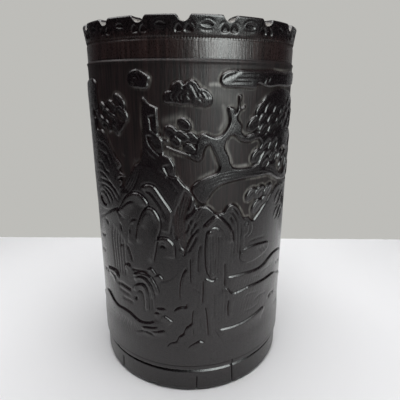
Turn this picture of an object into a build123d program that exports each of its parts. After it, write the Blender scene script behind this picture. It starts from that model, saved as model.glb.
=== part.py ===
"""Brush holder pot: a length of bamboo culm with a turned hardwood floor let in from below.

Millimetres, +Z up. The origin is the centre of the foot ring, on the face that the pot rests on.
The culm wall is drawn to the highest faces of its carving.
"""

import os

from build123d import *

# Driving dimensions
HEIGHT = 151.0  # foot to rim
BODY_RADIUS = 45.0  # highest faces of the carving, over the middle of the body
BORE_RADIUS = 37.0  # inside of the culm

# Foot band, below the groove
FOOT_RADIUS = 44.7
FOOT_HEIGHT = 10.2
FOOT_ROUNDING = 1.5
GROOVE_WIDTH = 1.4
GROOVE_DEPTH = 0.9

# Carved body, between the groove and the step under the neck
BODY_BASE_RADIUS = 45.3
BODY_TOP_RADIUS = 44.3
BODY_TOP = 137.8
TAPER_START = 126.0  # the body draws in from here up to its top edge
EDGE_ROUNDING = 0.4

# Plain neck, incised line and flared rim band
NECK_RADIUS = 43.7
LINE_HEIGHT = 143.8
LINE_WIDTH = 0.9
LINE_DEPTH = 0.45
RIM_RADIUS = 44.6
RIM_OUTER_ROUNDING = 0.7
RIM_INNER_ROUNDING = 1.5

# Notches through the rim
NOTCH_COUNT = 18
NOTCH_RADIUS = 2.3
NOTCH_DEPTH = 2.0
NOTCH_TURN = -1.0  # degrees, from the -Y side towards +X

# Floor disc, in a rebate cut from below, and the lacquer bead that holds it
REBATE_RADIUS = 38.5
LEDGE_HEIGHT = 8.0  # the disc's top face bears on this ledge
FLOOR_THICKNESS = 5.0
FLOOR_CLEARANCE = 0.1  # radial, all round the disc
FLOOR_CHAMFER = 0.4
BEAD_LEG = 1.4

FLOOR_UNDERSIDE = LEDGE_HEIGHT - FLOOR_THICKNESS


def turned(edges):
    """The solid swept by a closed outline of the X-Z plane turned once round the Z axis."""
    return revolve(make_face(edges), Axis.Z)


def corner(start, middle_of, end):
    """A quarter round from start to end, whose centre is middle_of."""
    radius = (Vector(*start) - Vector(*middle_of)).length
    bulge = (Vector(*start) + Vector(*end)) * 0.5 - Vector(*middle_of)
    return ThreePointArc(start, Vector(*middle_of) + bulge.normalized() * radius, end)


def rz(radius, height):
    """A point of the outline, at a radius and a height."""
    return (radius, 0, height)


def wall_outline():
    """Half section of the culm wall, from the foot up the outside and back down the bore."""
    groove_top = FOOT_HEIGHT + GROOVE_WIDTH
    groove_floor = rz(FOOT_RADIUS - GROOVE_DEPTH, FOOT_HEIGHT + GROOVE_WIDTH / 2)
    line_low = LINE_HEIGHT - LINE_WIDTH / 2
    line_high = LINE_HEIGHT + LINE_WIDTH / 2
    foot_start = rz(FOOT_RADIUS - FOOT_ROUNDING, 0)
    foot_end = rz(FOOT_RADIUS, FOOT_ROUNDING)
    edge_start = rz(BODY_TOP_RADIUS, BODY_TOP - EDGE_ROUNDING)
    edge_end = rz(BODY_TOP_RADIUS - EDGE_ROUNDING, BODY_TOP)
    rim_out_start = rz(RIM_RADIUS, HEIGHT - RIM_OUTER_ROUNDING)
    rim_out_end = rz(RIM_RADIUS - RIM_OUTER_ROUNDING, HEIGHT)
    rim_in_start = rz(BORE_RADIUS + RIM_INNER_ROUNDING, HEIGHT)
    rim_in_end = rz(BORE_RADIUS, HEIGHT - RIM_INNER_ROUNDING)
    foot_round = corner(foot_start, rz(FOOT_RADIUS - FOOT_ROUNDING, FOOT_ROUNDING), foot_end)
    body_edge = corner(edge_start, rz(edge_end[0], edge_start[2]), edge_end)
    rim_out_round = corner(rim_out_start, rz(rim_out_end[0], rim_out_start[2]), rim_out_end)
    rim_in_round = corner(rim_in_start, rz(rim_in_start[0], rim_in_end[2]), rim_in_end)
    outside = Polyline(
        foot_end,
        rz(FOOT_RADIUS, FOOT_HEIGHT),
        groove_floor,
        rz(BODY_BASE_RADIUS, groove_top),
        rz(BODY_RADIUS, HEIGHT / 2),
        rz(BODY_RADIUS, TAPER_START),
        edge_start,
    )
    neck_and_rim = Polyline(
        edge_end,
        rz(NECK_RADIUS, BODY_TOP),
        rz(NECK_RADIUS, line_low),
        rz(NECK_RADIUS - LINE_DEPTH, LINE_HEIGHT),
        rz(NECK_RADIUS, line_high),
        rim_out_start,
    )
    inside = Polyline(
        rim_in_end,
        rz(BORE_RADIUS, LEDGE_HEIGHT),
        rz(REBATE_RADIUS, LEDGE_HEIGHT),
        rz(REBATE_RADIUS, 0),
        foot_start,
    )
    rim_top = Line(rim_out_end, rim_in_start)
    return foot_round + outside + body_edge + neck_and_rim + rim_out_round + rim_top + rim_in_round + inside


def rim_notches():
    """Round cutters that lie along the radii of the rim, one for each notch."""
    reach = BODY_RADIUS - BORE_RADIUS + 4
    middle = (BODY_RADIUS + BORE_RADIUS) / 2
    height = HEIGHT - NOTCH_DEPTH + NOTCH_RADIUS
    cutter = Pos(0, -middle, height) * Rot(90, 0, 0) * Cylinder(NOTCH_RADIUS, reach)
    pitch = 360 / NOTCH_COUNT
    return [Rot(0, 0, NOTCH_TURN + i * pitch) * cutter for i in range(NOTCH_COUNT)]


def culm_wall():
    """The bamboo tube, banded and grooved outside, notched at its rim and rebated underneath."""
    return turned(wall_outline()) - rim_notches()


def floor_disc():
    """The turned disc that closes the bottom of the culm."""
    middle = (LEDGE_HEIGHT + FLOOR_UNDERSIDE) / 2
    disc = Pos(0, 0, middle) * Cylinder(REBATE_RADIUS - FLOOR_CLEARANCE, FLOOR_THICKNESS)
    return chamfer(disc.edges().filter_by(GeomType.CIRCLE), FLOOR_CHAMFER)


def lacquer_bead():
    """The hardened bead run round the corner between the disc's underside and the rebate."""
    on_wall = rz(REBATE_RADIUS, FLOOR_UNDERSIDE - BEAD_LEG)
    at_corner = rz(REBATE_RADIUS, FLOOR_UNDERSIDE)
    on_disc = rz(REBATE_RADIUS - BEAD_LEG, FLOOR_UNDERSIDE)
    return turned(Polyline(on_wall, at_corner, on_disc) + corner(on_disc, at_corner, on_wall))


def main():
    os.makedirs("parts", exist_ok=True)
    for part in (culm_wall, floor_disc, lacquer_bead):
        export_step(part(), f"parts/{part.__name__}.step")


main()
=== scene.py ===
"""Looks of a carved bamboo brush pot: relief, material, light and camera.

The carving is drawn on the unrolled wall. u runs round the pot in millimetres of arc, 0 at the front and
growing to the viewer's right, and z is the height above the foot. culm_mesh turns both into metres.
"""

from math import cos, pi, radians, sin

import bpy
import numpy as np
from mathutils import Matrix, Vector


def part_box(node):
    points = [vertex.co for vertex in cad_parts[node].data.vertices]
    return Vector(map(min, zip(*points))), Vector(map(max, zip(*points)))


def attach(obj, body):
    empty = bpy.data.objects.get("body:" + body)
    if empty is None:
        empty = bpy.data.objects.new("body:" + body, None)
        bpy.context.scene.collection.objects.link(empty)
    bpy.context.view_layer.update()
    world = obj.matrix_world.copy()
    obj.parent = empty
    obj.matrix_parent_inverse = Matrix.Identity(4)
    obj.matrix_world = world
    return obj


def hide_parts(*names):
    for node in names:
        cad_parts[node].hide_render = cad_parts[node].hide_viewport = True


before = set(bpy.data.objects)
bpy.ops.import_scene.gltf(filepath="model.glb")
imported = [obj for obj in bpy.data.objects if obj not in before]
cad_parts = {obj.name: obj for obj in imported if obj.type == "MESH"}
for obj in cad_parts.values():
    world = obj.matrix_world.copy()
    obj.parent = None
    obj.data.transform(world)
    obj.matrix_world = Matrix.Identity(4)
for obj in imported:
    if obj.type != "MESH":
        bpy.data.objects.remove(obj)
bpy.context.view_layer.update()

MM = 0.001

# The culm wall, in millimetres
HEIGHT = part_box("culm_wall")[1].z / MM
ARC_RADIUS = 45.0  # the radius at which u is measured
GIRTH = 2 * pi * ARC_RADIUS
BORE_RADIUS = 37.0
REBATE_RADIUS = 38.5
LEDGE_HEIGHT = 8.0
REBATE_HEIGHTS = (LEDGE_HEIGHT, 6.0, 4.0, 2.0, 0.3)
FOOT_RADII = (38.8, 41.0, 43.0)  # across the flat under the foot
PLAIN_TOP = 20.0  # the wall is uncarved from about here down
BODY_TOP = 137.8
LINE_HEIGHT = 143.8
OUTLINE = (  # height and outer radius, at the highest faces of the carving
    (0, 43.2), (0.3, 44.05), (0.8, 44.5), (1.5, 44.7), (9.9, 44.65),  # foot band
    (10.35, 44.3), (10.9, 43.8), (11.2, 44.5), (11.5, 44.95), (12.2, 45.3),  # groove over it
    (75.5, 45.0), (126, 45.0), (134.6, 44.75),  # body
    (136.0, 44.15), (136.9, 44.3), (BODY_TOP, 43.62), (138.0, 43.7), (143.3, 43.7),  # step and neck
    (143.6, 43.62), (LINE_HEIGHT, 43.5), (144.1, 43.58), (144.5, 43.75),  # line over the neck
    (150.2, 44.6), (151, 44.6))  # rim
NOTCH_COUNT = 18
NOTCH_PITCH = GIRTH / NOTCH_COUNT
NOTCH_START = radians(-1.0) * ARC_RADIUS
NOTCH_RADIUS = 2.3
NOTCH_DEPTH = 2.0
RIM_ZONE = 145.0  # rows above this bend down into the notches
RIM_OUTER_EDGE = ((0.12, 0.3), (0.4, 0.08), (0.9, 0))  # in from the outer face, and down from the top
RIM_INNER_EDGE = ((38.5, 0), (37.9, 0.12), (37.35, 0.5), (37.05, 1.1))  # radius, and down from the top
RIM_INNER_RADIUS = 38.6
RIM_STEPS = (0.15, 0.3, 0.45, 0.6, 0.75, 0.9)  # shares of the way across the rim's top
BORE_TOP = HEIGHT - 4.2
BORE_ROWS = 90
DOT_COUNT = 270
DOT_HEIGHT = 144.3
DOT_DEPTH = 0.22
DOT_SIZE = 0.35

# The carving, in millimetres
TOP = 1.0  # its highest faces stand this far above its ground
BANK_LEVEL = 0.64  # cuts under this level carry on into the plain wall
GROUND_DEPTH = ((PLAIN_TOP, 0.0), (30, TOP), (120, TOP), (134.6, 0.8), (136.0, 0.15), (137.3, 0.0))
BEVEL = 0.45  # width of the sloping part of a knife cut
WALL_SLOPE = 2.5  # the steep part below it
CELL = 0.26  # spacing of the mesh over the carved wall

# Angles, in radians, from the wall's own normal to the one that sends the window's light to the viewer
WINDOW_TURN = 0.32  # round the pot, at its front
TURN_RATE = 1.17  # how much less it is for each radian round the pot
LARGEST_TURN = 1.1
LIFT_HEIGHTS = (30, 130)
LIFTS = (0.56, 0.17)  # upward, at those heights

# A leaf pad, in shares of its size
PAD_LENGTH = 1.3
PAD_WIDTH = 0.88
PAD_TURN = 38  # degrees

# Colours, as linear red, green and blue. A pair is the darkest and the palest of an uneven surface
POLISHED = ((0.0070, 0.0048, 0.0062), (0.013, 0.0088, 0.0105))
GROUND = ((0.007, 0.0040, 0.0044), (0.030, 0.0155, 0.0155))
BARE = ((0.020, 0.010, 0.009), (0.060, 0.034, 0.031))
WORN_EDGE = (0.045, 0.034, 0.031)
# The two pale dusts are partly painted highlight: they are laid on the ground where the window's light
# glints
CORNER_DUST_AND_HIGHLIGHT = (0.26, 0.25, 0.225)
PALE_DUST_AND_HIGHLIGHT = (0.58, 0.57, 0.53)
FLOOR_WOOD = ((0.018, 0.009, 0.007), (0.062, 0.030, 0.020))
LACQUER = ((0.008, 0.005, 0.004), (0.022, 0.013, 0.010))
PALE_FLOOR = (0.74, 0.74, 0.75)
PALE_BACKDROP = (0.83, 0.82, 0.81)
ROOM_COLOUR = (0.512, 0.508, 0.485, 1)  # what the camera sees past the floor
DIM_ROOM = (0.024, 0.022, 0.026, 1)  # what the pot reflects
WINDOW_COLOUR = (0.93, 1.0, 0.98)

# The stage, the lights and the camera, in metres, watts and radians
FLOOR_SIZE = 3  # from the middle to each side
BACKDROP = 0.121  # how far the backdrop stands behind the pot's axis
BACKDROP_WIDTH = 0.4
BACKDROP_HEIGHT = 0.35
FLOOR_POOL = (0.06, 0.05, 0)  # where the pot's reflections see the brightest floor
SHADE_MIDDLE = (0, 0.02, 0)
SHADE = (0.046, 0.078)  # the reflected floor brightens between these distances from there
POT_MIDDLE = (0, 0, 0.1)
TOP_LIGHT_POWER = 9.3
SIDE_LIGHTS = (  # name, place, size, power, colour
    ("window", (0.49, -0.77, 0.47), (0.54, 0.76), 15.3, WINDOW_COLOUR),
    ("window_glow", (0.60, -0.74, 0.34), (0.9, 0.70), 4.0, WINDOW_COLOUR),
    ("left_glow", (-0.55, 0.18, 0.72), (1.0, 0.25), 3.6, (1, 1, 1)))
CAMERA_PLACE = (0.00603, -0.17042, 0.12979)
CAMERA_PITCH = 0.3131
CAMERA_ROLL = 0.0059
CAMERA_LENS = 32.33
CAMERA_SHIFT = -0.0092


# ---------------------------------------------------------------- curves and noise


def smooth(points, closed=False, steps=7):
    """A curve through the points, with tangents set by each point's neighbours."""
    p = np.asarray(points, float)
    if closed:
        p = np.vstack([p[-1], p, p[0], p[1]])
    else:
        p = np.vstack([2 * p[0] - p[1], p, 2 * p[-1] - p[-2]])
    t = np.linspace(0, 1, steps, endpoint=False)[:, None]
    spans = []
    for a, b, c, d in zip(p, p[1:], p[2:], p[3:]):
        cubic = (3 * b - a - 3 * c + d) * t**3
        spans.append(0.5 * (2 * b + (c - a) * t + (2 * a - 5 * b + 4 * c - d) * t**2 + cubic))
    if not closed:
        spans.append(p[-2][None])
    return np.vstack(spans)


def oval(u, z, ru, rz, turn=0.0, count=28):
    """A closed oval round (u, z), turned anticlockwise by turn degrees."""
    a = np.linspace(0, 2 * pi, count, endpoint=False)
    x, y = ru * np.cos(a), rz * np.sin(a)
    c, s = cos(radians(turn)), sin(radians(turn))
    return np.stack([u + c * x - s * y, z + s * x + c * y], 1)


def ramp(x):
    """0 below 0, 1 above 1, and an eased rise between them."""
    x = np.clip(x, 0, 1)
    return x * x * (3 - 2 * x)


def cut_slope(u, z, face_u, face_z):
    """Slope of a knife cut that faces along (face_u, face_z).

    Cuts that face the window are bevelled so that they catch its light, and the others are steep.
    """
    around = (u + GIRTH / 2) % GIRTH - GIRTH / 2
    turn = np.clip(WINDOW_TURN - TURN_RATE * around / ARC_RADIUS, -LARGEST_TURN, LARGEST_TURN)
    lift = np.interp(z, LIFT_HEIGHTS, LIFTS)
    caught = turn * face_u + lift * face_z
    missed = abs(turn * face_z - lift * face_u)
    facing = (1 - ramp((missed - 0.2) / 0.3)) * ramp((caught - 0.1) / 0.2)
    gentle = np.tan(np.clip(caught, 0.2, 1.1))
    steep = 2.3 - 0.85 * ramp(face_z / 0.8)
    return steep + (gentle - steep) * facing


def cut_rise(step, far, slope):
    """Height gained at a distance from a cut's edge: a steep wall with a sloping bevel along its top."""
    bevel = np.minimum(BEVEL, step / slope)
    face = step - slope * np.maximum(bevel - far, 0)
    return np.clip(np.minimum(WALL_SLOPE * far, face), 0, np.maximum(step, 0))


def noise(u, z, cell_u, cell_z, seed):
    """Smooth noise from -1 to 1, with no seam where u has gone once round the pot."""
    count = max(1, round(GIRTH / cell_u))
    rows = int(HEIGHT / cell_z) + 4
    grid = np.random.default_rng(seed).uniform(-1, 1, (rows, count))
    x = (u / GIRTH * count) % count
    y = np.clip(z / cell_z + 1, 0, rows - 1.001)
    i, j = np.floor(x).astype(int) % count, np.floor(y).astype(int)
    fx, fy = ramp(x - np.floor(x)), ramp(y - j)
    k = (i + 1) % count
    low = grid[j, i] * (1 - fx) + grid[j, k] * fx
    high = grid[j + 1, i] * (1 - fx) + grid[j + 1, k] * fx
    return low * (1 - fy) + high * fy


def nearest(u, z, path):
    """How points lie to a path: distance, side (1 is left of travel), place along it, length, way to it."""
    best = np.full(u.shape, np.inf)
    turn = np.zeros(u.shape)
    along = np.zeros(u.shape)
    to_u, to_z = np.zeros(u.shape), np.zeros(u.shape)
    run = 0.0
    for (u0, z0), (u1, z1) in zip(path[:-1], path[1:]):
        du, dz = u1 - u0, z1 - z0
        length = max(np.hypot(du, dz), 1e-9)
        t = np.clip(((u - u0) * du + (z - z0) * dz) / length**2, 0, 1)
        off_u, off_z = u0 + t * du - u, z0 + t * dz - z
        far = np.hypot(off_u, off_z)
        cross = (du * (z - z0) - dz * (u - u0)) / length
        closer = (far < best - 1e-6) | ((far < best + 1e-6) & (abs(cross) > abs(turn)))
        place = run + t * length
        for kept, new in ((best, far), (turn, cross), (along, place), (to_u, off_u), (to_z, off_z)):
            np.copyto(kept, new, where=closer)
        run += length
    way = (to_u / np.maximum(best, 1e-6), to_z / np.maximum(best, 1e-6))
    return best, np.where(turn >= 0, 1.0, -1.0), along, run, way


def inside(u, z, outline):
    """True for points in a closed outline."""
    hit = np.zeros(u.shape, bool)
    for (u0, z0), (u1, z1) in zip(outline, np.roll(outline, -1, 0)):
        if abs(z1 - z0) > 1e-9:
            crosses = (z0 > z) != (z1 > z)
            hit ^= crosses & (u < u0 + (z - z0) * (u1 - u0) / (z1 - z0))
    return hit


# ---------------------------------------------------------------- carving tools


class Carving:
    """Heights over the unrolled wall, in millimetres above the ground of the relief."""

    def __init__(self):
        self.columns = round(GIRTH / CELL)
        self.rows = round(HEIGHT / CELL) + 1
        self.u_axis = np.arange(self.columns) * GIRTH / self.columns
        self.z_axis = np.linspace(0, HEIGHT, self.rows)
        self.height = np.zeros((self.rows, self.columns))

    def patch(self, path, margin):
        """The part of the wall round a path: its rows and columns, and u and z there, with u running on."""
        step_u, step_z = GIRTH / self.columns, HEIGHT / (self.rows - 1)
        low, high = path.min(0) - margin, path.max(0) + margin
        rows = np.arange(max(0, int(low[1] / step_z)), min(self.rows, int(high[1] / step_z) + 2))
        first, last = int(np.floor(low[0] / step_u)), int(np.ceil(high[0] / step_u))
        columns = np.arange(first, min(last, first + self.columns - 1) + 1)
        u, z = np.meshgrid(columns * step_u, self.z_axis[rows])
        return np.ix_(rows, columns % self.columns), u, z

    def depth_in(self, outline, u, z):
        """How far points lie inside a closed outline, and the slope of a cut along its edge."""
        far, _, _, _, way = nearest(u, z, np.vstack([outline, outline[:1]]))
        within = inside(u, z, outline)
        side = np.where(within, 1, -1)
        return far * side, cut_slope(u, z, way[0] * side, way[1] * side)

    def pad(self, outline, level, lean=(0, 0), slope=1.0):
        """Brings a closed outline to a level, with knife-cut sides."""
        outline = np.asarray(outline, float)
        where, u, z = self.patch(outline, 0.5)
        middle = outline.mean(0)
        face = np.clip(level + lean[0] * (u - middle[0]) + lean[1] * (z - middle[1]), 0.05, TOP)
        depth, steep = self.depth_in(outline, u, z)
        far = np.maximum(depth, 0) * slope
        old = self.height[where]
        raised = old + cut_rise(face - old, far, steep)
        lowered = np.maximum(face, old - far * WALL_SLOPE)
        self.height[where] = np.where(face > old, raised, lowered)

    def opening(self, outline):
        """Cuts a closed outline down to the ground, with knife-cut sides."""
        outline = np.asarray(outline, float)
        where, u, z = self.patch(outline, 2.5)
        far, _, _, _, way = nearest(u, z, np.vstack([outline, outline[:1]]))
        outside = ~inside(u, z, outline)
        old = self.height[where]
        self.height[where] = cut_rise(old, far * outside, cut_slope(u, z, way[0], way[1]))

    def lip(self, path, rise, reach=4.0, under=0.3, taper=2.0):
        """A step along a path: the left of travel stands up, and falls away again over its reach."""
        curve = smooth(path)
        where, u, z = self.patch(curve, reach * 1.8)
        far, side, along, run, way = nearest(u, z, curve)
        ends = ramp(np.minimum(along, run - along) / min(taper, run / 2))
        turn = np.sign(rise)
        crown = abs(rise) * (1 + under) * (1 - ramp(far / (1.8 * reach))) ** 1.3
        left = cut_rise(crown, far, cut_slope(u, z, way[0] * turn, way[1] * turn)) * (side > 0)
        foot = under * abs(rise) * np.exp(-((far / 0.5) ** 2))
        self.height[where] += ends * (left * turn - foot)

    def groove(self, path, width=0.5, depth=0.35, taper=2.2):
        """A V cut along a path, fading out at both ends."""
        curve = smooth(path)
        where, u, z = self.patch(curve, 2.5 * width)
        far, _, along, run, _ = nearest(u, z, curve)
        ends = ramp(np.minimum(along, run - along) / min(taper, run / 2))
        self.height[where] -= depth * ends * np.exp(-((far / width) ** 2))

    def echo(self, path, spacing, depth, reach, one_side=False):
        """Cuts that run along a path side by side, weaker the farther they lie from it."""
        curve = smooth(path)
        where, u, z = self.patch(curve, reach + 0.5)
        far, side, along, run, _ = nearest(u, z, curve)
        phase = far / spacing + 0.22 * noise(u, z, 3.3, 5, 43)
        share = ramp((reach - far) / (0.4 * reach)) * ramp(np.minimum(along, run - along) / 2.0)
        if one_side:
            share = share * (side > 0)
        uneven = 0.75 + 0.35 * noise(u, z, 1.8, 3.5, 44)
        self.height[where] -= depth * share * uneven * (0.5 - 0.5 * np.cos(2 * pi * phase))

    def pit(self, outline, depth, width=0.35):
        """A pit with sloping sides inside a closed outline."""
        where, u, z = self.patch(outline, 1.5)
        self.height[where] -= depth * ramp(self.depth_in(outline, u, z)[0] / width + 0.5)

    def striate(self, outline, depth, spacing=1.1, seed=7, along=(0, 1), fade=1.5):
        """Uneven tool lines inside a closed outline, running along a direction."""
        outline = np.asarray(outline, float)
        where, u, z = self.patch(outline, 0)
        share = ramp(self.depth_in(outline, u, z)[0] / fade)
        across = u * along[1] - z * along[0]
        wander = 0.8 * noise(u, z, 6, 9, seed) + 0.25 * noise(u, z, 2, 5, seed + 1)
        phase = (across + wander) / spacing
        strength = 0.55 + 0.45 * noise(u, z, 2.4, 12, seed + 2)
        waves = 0.6 * np.cos(2 * pi * phase) + 0.4 * np.cos(2 * pi * phase * 1.73 + 1.3)
        self.height[where] += depth * share * strength * (waves - 0.4)


class Place:
    """Where a motif goes on the wall: its own coordinates, mirrored or not, scaled and shifted."""

    def __init__(self, carving, shift=(0, 0), scale=1.0, flip=False):
        self.carving = carving
        self.shift = np.asarray(shift, float)
        self.scale = np.array([-scale if flip else scale, scale])
        self.flip = flip

    def at(self, points):
        return np.asarray(points, float) * self.scale + self.shift

    def pad(self, outline, level, **more):
        if "lean" in more:
            more["lean"] = (more["lean"][0] * np.sign(self.scale[0]), more["lean"][1])
        self.carving.pad(self.at(outline), level, **more)

    def opening(self, outline):
        self.carving.opening(self.at(outline))

    def lip(self, path, rise, **more):
        points = self.at(path)
        self.carving.lip(points[::-1] if self.flip else points, rise, **more)

    def groove(self, path, **more):
        self.carving.groove(self.at(path), **more)

    def echo(self, path, spacing, depth, **more):
        points = self.at(path)
        self.carving.echo(points[::-1] if self.flip else points, spacing, depth, **more)

    def lips(self, rise, paths, **more):
        for path in paths:
            self.lip(path, rise, **more)

    def grooves(self, width, depth, paths, **more):
        for path in paths:
            self.groove(path, width=width, depth=depth, **more)

    def striate(self, outline, depth, **more):
        self.carving.striate(self.at(outline), depth, **more)


# ---------------------------------------------------------------- motifs


def foliage(place, lobes, toward, level=0.62, tilt=0.1):
    """Overlapping leaf pads with veins. They rise to the right if toward is 1, and to the left if -1."""
    for u, z, r in lobes:
        outline = oval(u, z, r * PAD_LENGTH, r * PAD_WIDTH, turn=-PAD_TURN * toward)
        place.pad(outline, level, lean=(tilt * toward, tilt * 1.1))
        vein = oval(u - 0.5 * toward, z - 0.5, r * 0.8, r * 0.45, turn=-PAD_TURN * toward)[3:13]
        place.groove(vein, width=0.28, depth=0.16, taper=0.8)


def hills(place):
    """The land under the rocks and trees, from the cliffs at the left to the slopes at the right."""
    place.pad([(-72, 90), (-64, 91), (-31, 91), (-27, 92), (-24.5, 96), (-21, 101), (-16.4, 103), (-9, 103),
        (-4, 98), (-1.9, 95.4), (1, 92.8), (2.8, 88), (4, 85), (8, 84.4), (12, 81.6), (18, 84.4),
        (20.8, 82.6), (23, 80), (25.8, 80), (26.8, 78.4), (28.4, 78.2), (31, 80.4), (34.4, 83.6),
        (38.6, 87.2), (43, 90), (60, 89), (72, 90), (72, 14), (-72, 14)], 0.62)
    place.pad(smooth([(33, 126.6), (28.6, 122), (27, 117), (30, 112), (44, 112), (58, 111.6), (63, 116),
        (61, 122.6), (54, 126.4), (43, 128.4)], True), 0.56, slope=0.5)


def left_cliff(place):
    """The cliff at the left edge: its stepped right side, the folds on it and the curled rocks below."""
    place.pad(smooth([(-60, 126), (-54, 130.6), (-46, 131.6), (-42, 130.8), (-40.6, 128), (-41.6, 121),
        (-44, 116), (-43, 112.4), (-39.6, 112.8), (-37.4, 112), (-35.2, 109.4), (-32.6, 105.4),
        (-31, 103.4), (-29.4, 101.8), (-27.6, 100.2), (-28.8, 98), (-25.6, 96.1), (-29, 94.6), (-27.7, 93),
        (-31, 87), (-38, 80), (-58, 80), (-63, 86), (-61.4, 92), (-64.4, 99), (-61, 104), (-62.6, 111),
        (-58.6, 115), (-60.4, 121)], True), 0.85, lean=(0.004, 0.004))
    folds = (
        [(-31.6, 100), (-33, 103.6), (-36, 106.4), (-42, 107.6), (-50, 106)],
        [(-33.4, 98), (-35, 101.4), (-38.4, 103.6), (-44, 104)],
        [(-33.8, 96), (-37.4, 96.6), (-40.6, 99.2), (-45, 98.8)],
        [(-33, 91.2), (-35.4, 92.4), (-40, 94.8), (-46, 94.8), (-54, 93)])
    place.grooves(0.5, 0.2, folds)
    curls = (
        [(-29.2, 86), (-30.4, 88.5), (-33, 90.8), (-38, 92.4), (-44, 92)],
        [(-31, 84.6), (-32.4, 87), (-35, 89.2), (-39.4, 90.2), (-44, 89.6)],
        [(-33.4, 84), (-35, 86.6), (-38, 88.4), (-42, 88.8)],
        [(-36, 82.2), (-36.8, 84.2), (-38.8, 86.2), (-41.8, 87.3), (-45.4, 86.2), (-47.4, 83.4)])
    place.grooves(0.5, 0.22, curls)
    place.pad(oval(-42.6, 83, 3.6, 1.8, turn=-18), 0.3)
    place.grooves(0.5, 0.26, (
        [(-30.2, 102), (-30.4, 98), (-31.4, 94)], [(-36, 101), (-36.4, 105)], [(-25, 103), (-28, 104.8)]))


def pillar(place):
    """The splintered rock pillar with its zigzag right side."""
    place.pad([(-16.4, 125.2), (-15.6, 125.4), (-13.2, 123.1), (-10.5, 121.9), (-10.3, 112.9),
        (-8.7, 110.6), (-8.5, 105.7), (-6.1, 104.7), (-4.5, 101.8), (-4.1, 98.2), (-2.4, 96.2),
        (-0.6, 93.8), (-2, 91), (-18, 95), (-20.2, 100), (-17.6, 104), (-16.6, 110)], 0.84)
    place.lips(-0.42, (
        [(-14.2, 119), (-13.6, 117), (-13.1, 114), (-9.6, 111.4)],
        [(-15, 112.4), (-14.6, 109.4), (-12.4, 106.7), (-9.8, 104.6)],
        [(-9, 101.6), (-7.8, 98.6), (-6.9, 97.4), (-3.6, 96.8)]), reach=2.4, taper=0.6)
    place.groove([(-9.1, 110.9), (-7.8, 110.6), (-6.6, 110.1)], width=0.4, depth=-0.5, taper=0.6)
    strokes = [[(-13.9 + k, 111.9 + 0.2 * k), (-12.4 + k, 109.6), (-10.6 + 0.8 * k, 107.4)]
        for k in (0, 1, 2)]
    strokes += [[(-16 + 0.4 * k, 107.6 - 1.5 * k), (-13.8 + 0.4 * k, 105 - 1.3 * k),
        (-10.8, 102.8 - 1.4 * k)] for k in (0, 1, 2)]
    place.grooves(0.35, 0.22, strokes)


def great_rock(place):
    """The domed rock at the centre left, with nested arches and a fold that sweeps up into the pillar."""
    place.pad(smooth([(-31, 80), (-29.4, 86), (-26.6, 91.2), (-23.2, 95.8), (-20.6, 100.4), (-17, 101.6),
        (-13, 100.8), (-9, 98.4), (-5, 95.6), (-1.8, 93.6), (-0.6, 91), (-3.4, 86), (-5.4, 80), (-5.2, 70),
        (-3.6, 60), (-10, 54), (-24, 56), (-29, 68)], True), 0.78, lean=(0, 0.009))
    for k in range(4):
        s = 1.25 * k
        place.groove([(-28 + s, 89.6 - 0.2 * k), (-24.6 + s, 93.8), (-22 + 0.9 * s, 98.6),
            (-20.4 + 0.7 * s, 104)], width=0.4, depth=0.42)
    place.groove([(-11.4, 100), (-7.6, 97.4), (-4.6, 93.6), (-3.2, 90.4)], width=0.4, depth=0.2)
    arches = (
        [(-7, 75), (-6.2, 79.4), (-5.7, 83), (-6.2, 85), (-9, 89.2), (-12, 93.3), (-14, 94.3), (-16.4, 94),
         (-18.2, 92.4)],
        [(-15.2, 85.2), (-15.6, 87.4), (-17.6, 89.6), (-19.8, 90.5), (-22.8, 90), (-26, 87.7), (-28.6, 84),
         (-30.8, 80.6)],
        [(-5, 64.6), (-5.1, 69), (-5.6, 71.2), (-7.6, 73.2), (-9.6, 73.6), (-11.6, 73), (-12.8, 71.4)])
    place.lips(0.46, arches, reach=3.2, under=0.45, taper=1.2)
    place.lip([(-14.4, 61), (-13.1, 67), (-11.9, 72.6), (-10.6, 77.2), (-10.5, 80.2), (-11.7, 83),
        (-13.4, 84.9), (-15.4, 85.3), (-17.4, 83.6), (-19, 80.6), (-20.4, 77), (-21.2, 73), (-21.6, 69)],
        0.46, reach=2.2, under=0.5, taper=3.0)
    inner = (
        [(-8, 80), (-9.4, 84.6), (-12, 88.6), (-14.2, 91), (-17, 91.6)],
        [(-21.4, 87), (-24.2, 86), (-26.6, 84.2), (-29.2, 81.4)],
        [(-20.6, 79.3), (-22.6, 79.2), (-24.4, 77), (-25.6, 73), (-26, 68)],
        [(-16, 83.8), (-17.6, 81), (-19.2, 76.6)])
    place.lips(0.27, inner, reach=2.2, under=0.4)
    place.grooves(0.45, 0.38, (
        [(-21, 76.6), (-21.4, 73.6), (-21.7, 71.4)], [(-22.4, 78.2), (-24, 75.6), (-24.6, 72.6)],
        [(-30.6, 77), (-29.6, 74), (-28.8, 72)], [(-27.2, 68), (-25.6, 64.6), (-24, 60)],
        [(-28, 67.7), (-29.8, 66.6), (-31.6, 65)]))
    place.grooves(0.5, 0.34, (
        [(-25.6, 56.8), (-21, 57.2), (-17.6, 57.3), (-15.4, 58)],
        [(-11.6, 70.6), (-10.4, 71.4), (-8.4, 71)], [(-11.8, 69.4), (-10, 69.9), (-8, 69)]))


def valley(place):
    """The cleft between the great rock and the twin rocks."""
    place.pad(smooth([(-1.2, 92.4), (-3.2, 87.6), (-4.8, 84.2), (-5.6, 80), (-5.4, 74), (-2.6, 67.6),
        (-1, 66.6), (0.8, 71), (-0.6, 76), (-0.8, 81), (2.2, 84.4), (2.8, 88), (1, 91)], True), 0.35)
    place.echo([(-0.4, 91.5), (-2.2, 86), (-3.2, 80), (-3, 74), (-1.4, 68)], 0.95, 0.28, reach=3.2)
    place.lips(0.30, ([(1.6, 90.6), (0.8, 87), (-0.6, 83.6)], [(-0.8, 67), (-2.6, 70.6), (-3.4, 74.4)]),
        reach=1.6)


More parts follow.
